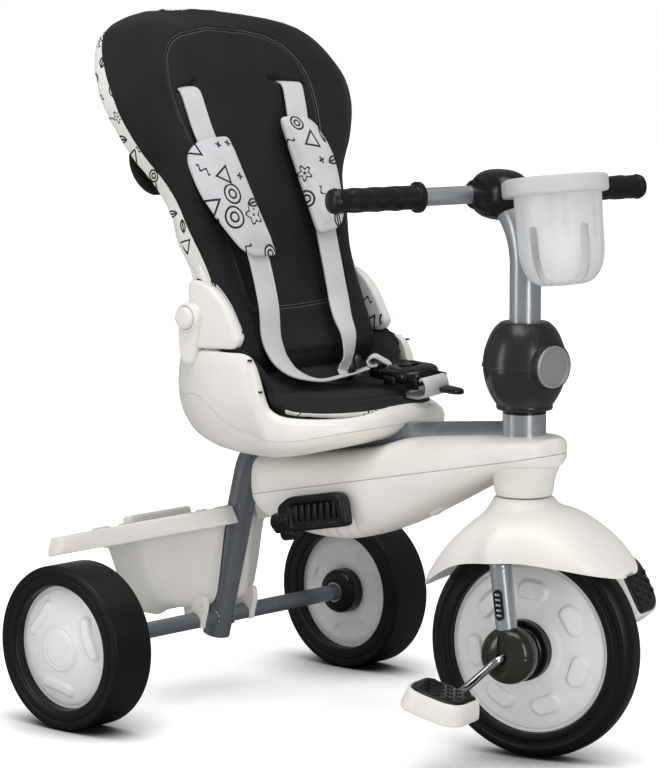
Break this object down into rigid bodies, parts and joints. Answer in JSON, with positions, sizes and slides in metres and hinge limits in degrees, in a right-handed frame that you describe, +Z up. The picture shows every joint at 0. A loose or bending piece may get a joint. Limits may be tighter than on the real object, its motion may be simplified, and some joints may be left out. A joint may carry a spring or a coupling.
{
  "type": "toddler trike",
  "caption": "Toddler trike with a bucket seat, harness and reclining backrest, clutch-steered pedal front wheel, cup holder, fold-down footrests and a tipping rear bin.",
  "frame": {"origin": "on the ground, midway along the length and the width of the bounding box", "axes": "+X forward, the way the trike rolls; +Y to the rider's left; +Z up"},
  "size_m": [0.6386, 0.472, 0.7233],
  "materials": {
    "white_plastic": "satin off-white moulding",
    "pale_plastic": "satin pale grey moulding",
    "black_plastic": "grained black moulding",
    "dark_plastic": "satin charcoal moulding",
    "cup_plastic": "translucent moulding",
    "silver_button": "silver-grey moulding",
    "tyre": "fine-grained foam rubber",
    "grip": "ribbed soft grip",
    "painted_steel": "silver-grey powder coat",
    "bright_steel": "bright plated rod",
    "pad_fabric": "black woven cover over wadding",
    "print_fabric": "off-white cover with a line print",
    "webbing": "light grey webbing"
  },
  "bodies": {
    "frame": {"main_tube": "painted_steel", "head_tube": "painted_steel", "axle_tube": "painted_steel", "axle_rod": "bright_steel", "axle_caps": "bright_steel", "head_bushes": "black_plastic", "cover_upper": "white_plastic", "cover_lower": "white_plastic", "screws": "bright_steel", "seat_base": "white_plastic", "seat_bracket": "painted_steel", "seat_pad": "pad_fabric", "lap_straps": "webbing", "buckle": "black_plastic", "handle_socket": "dark_plastic", "recline_pins": "bright_steel"},
    "buckle_button": {"buckle_button": "black_plastic"},
    "backrest": {"back_shell": "white_plastic", "back_spine": "dark_plastic", "back_pad": "pad_fabric", "shoulder_straps": "webbing", "shoulder_pad_right": "print_fabric", "shoulder_pad_left": "print_fabric"},
    "recline_button_right": {"recline_button_right": "white_plastic"},
    "recline_button_left": {"recline_button_left": "white_plastic"},
    "fork": {"steerer": "painted_steel", "fork_crown": "painted_steel", "fork_leg_right": "painted_steel", "fork_leg_left": "painted_steel", "fork_end_right": "dark_plastic", "fork_end_left": "dark_plastic", "leg_inserts": "black_plastic", "mudguard": "white_plastic"},
    "front_wheel": {"front_tyre": "tyre", "front_disc_right": "pale_plastic", "front_disc_left": "pale_plastic", "front_hub": "black_plastic", "crank": "bright_steel"},
    "pedal_right": {"pedal_right": "white_plastic", "pedal_right_tread": "black_plastic"},
    "pedal_left": {"pedal_left": "white_plastic", "pedal_left_tread": "black_plastic"},
    "handlebar": {"ball_upper": "dark_plastic", "ball_lower": "dark_plastic", "clutch_core": "dark_plastic", "stem": "painted_steel", "bar": "painted_steel", "clamp": "black_plastic", "grips": "grip", "cup_holder": "cup_plastic"},
    "steer_button": {"steer_button": "silver_button"},
    "rear_wheel_right": {"rear_tyre_right": "tyre", "rear_disc_right": "pale_plastic", "rear_hub_right": "black_plastic"},
    "rear_wheel_left": {"rear_tyre_left": "tyre", "rear_disc_left": "pale_plastic", "rear_hub_left": "black_plastic"},
    "footrest_right": {"footrest_right": "black_plastic"},
    "footrest_left": {"footrest_left": "black_plastic"},
    "bin": {"bin": "white_plastic"}
  },
  "joints": [
    {"name": "fork_steer", "type": "hinge", "parent": "frame", "child": "fork", "pos_m": [0.1956, 0, 0.3], "axis": [0, 0, 1], "range_deg": [-52, 28]},
    {"name": "handlebar_turn", "type": "hinge", "parent": "fork", "child": "handlebar", "pos_m": [0.1956, 0, 0.38], "axis": [0, 0, 1], "range_deg": [-30, 90]},
    {"name": "steer_button_press", "type": "slide", "parent": "handlebar", "child": "steer_button", "axis": [-0.9548, 0.2974, 0], "range_m": [0, 0.004], "stiffness_N_per_m": 600},
    {"name": "front_wheel_spin", "type": "hinge", "parent": "fork", "child": "front_wheel", "pos_m": [0.20879, 0.00288, 0.11], "axis": [-0.213, 0.977, 0], "continuous": true},
    {"name": "pedal_right_spin", "type": "hinge", "parent": "front_wheel", "child": "pedal_right", "pos_m": [0.18533, -0.11278, 0.06718], "axis": [-0.213, 0.977, 0], "continuous": true},
    {"name": "pedal_left_spin", "type": "hinge", "parent": "front_wheel", "child": "pedal_left", "pos_m": [0.23225, 0.11853, 0.15282], "axis": [-0.213, 0.977, 0], "continuous": true},
    {"name": "rear_wheel_right_spin", "type": "hinge", "parent": "frame", "child": "rear_wheel_right", "pos_m": [-0.2154, -0.21, 0.084], "axis": [0, 1, 0], "continuous": true},
    {"name": "rear_wheel_left_spin", "type": "hinge", "parent": "frame", "child": "rear_wheel_left", "pos_m": [-0.2154, 0.21, 0.084], "axis": [0, 1, 0], "continuous": true},
    {"name": "footrest_right_fold", "type": "hinge", "parent": "frame", "child": "footrest_right", "pos_m": [-0.0334, -0.0585, 0.20964], "axis": [0.9806, 0, 0.1959], "range_deg": [0, 85]},
    {"name": "footrest_left_fold", "type": "hinge", "parent": "frame", "child": "footrest_left", "pos_m": [-0.0334, 0.0585, 0.20964], "axis": [-0.9806, 0, -0.1959], "range_deg": [0, 85]},
    {"name": "backrest_recline", "type": "hinge", "parent": "frame", "child": "backrest", "pos_m": [-0.1434, 0, 0.41529], "axis": [0, -1, 0], "range_deg": [0, 16]},
    {"name": "recline_button_right_press", "type": "slide", "parent": "frame", "child": "recline_button_right", "axis": [0, 1, 0], "range_m": [0, 0.003], "stiffness_N_per_m": 500},
    {"name": "recline_button_left_press", "type": "slide", "parent": "frame", "child": "recline_button_left", "axis": [0, -1, 0], "range_m": [0, 0.003], "stiffness_N_per_m": 500},
    {"name": "bin_tip", "type": "hinge", "parent": "frame", "child": "bin", "pos_m": [-0.2154, 0, 0.084], "axis": [0, -1, 0], "range_deg": [0, 40]},
    {"name": "buckle_button_press", "type": "slide", "parent": "frame", "child": "buckle_button", "axis": [0, 0, -1], "range_m": [0, 0.003], "stiffness_N_per_m": 500}
  ]
}
